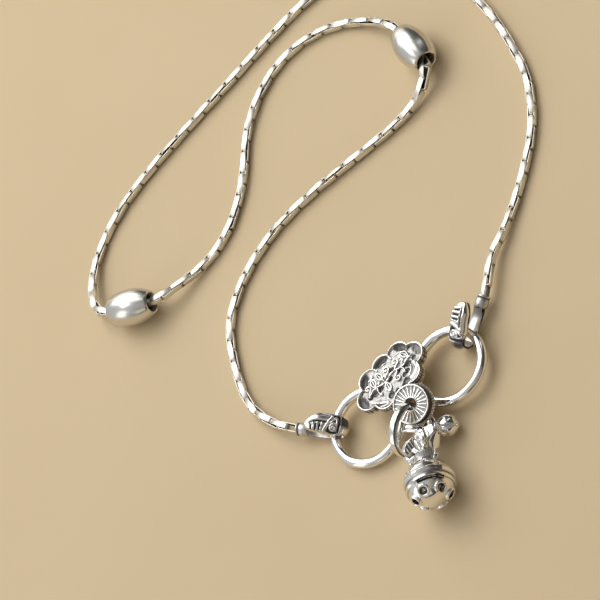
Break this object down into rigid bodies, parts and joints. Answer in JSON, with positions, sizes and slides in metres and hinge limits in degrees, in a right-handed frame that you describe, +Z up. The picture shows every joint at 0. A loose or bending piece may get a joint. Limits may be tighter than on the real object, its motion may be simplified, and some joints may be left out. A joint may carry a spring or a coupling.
{
  "type": "beaded anklet",
  "caption": "Silver anklet of fine box-link chain with polished barrel beads, carved hook clasps, wire rings, a lobed plaque, a spoked disc and bell charms.",
  "frame": {"origin": "middle of the whole piece as it lies, on the surface it rests on", "axes": "+Z up from the surface; the ornament lies toward -Y, the back of the chain toward +Y, and the longer way across is along Y"},
  "size_m": [0.0568, 0.0674, 0.006],
  "materials": {
    "chain_silver": "bright sterling silver, small links",
    "polished_silver": "mirror-polished sterling silver",
    "carved_silver": "polished sterling silver with dark oxidised recesses"
  },
  "bodies": {
    "root": {"chain": "chain_silver", "bead_left": "polished_silver", "bead_top": "polished_silver", "hook_left": "carved_silver", "hook_right": "carved_silver", "ring_left": "polished_silver", "ring_right": "polished_silver", "plaque": "carved_silver", "spoked_disc": "carved_silver", "charm_ring": "polished_silver", "leaf_bell": "polished_silver", "small_bell": "polished_silver"}
  },
  "joints": []
}
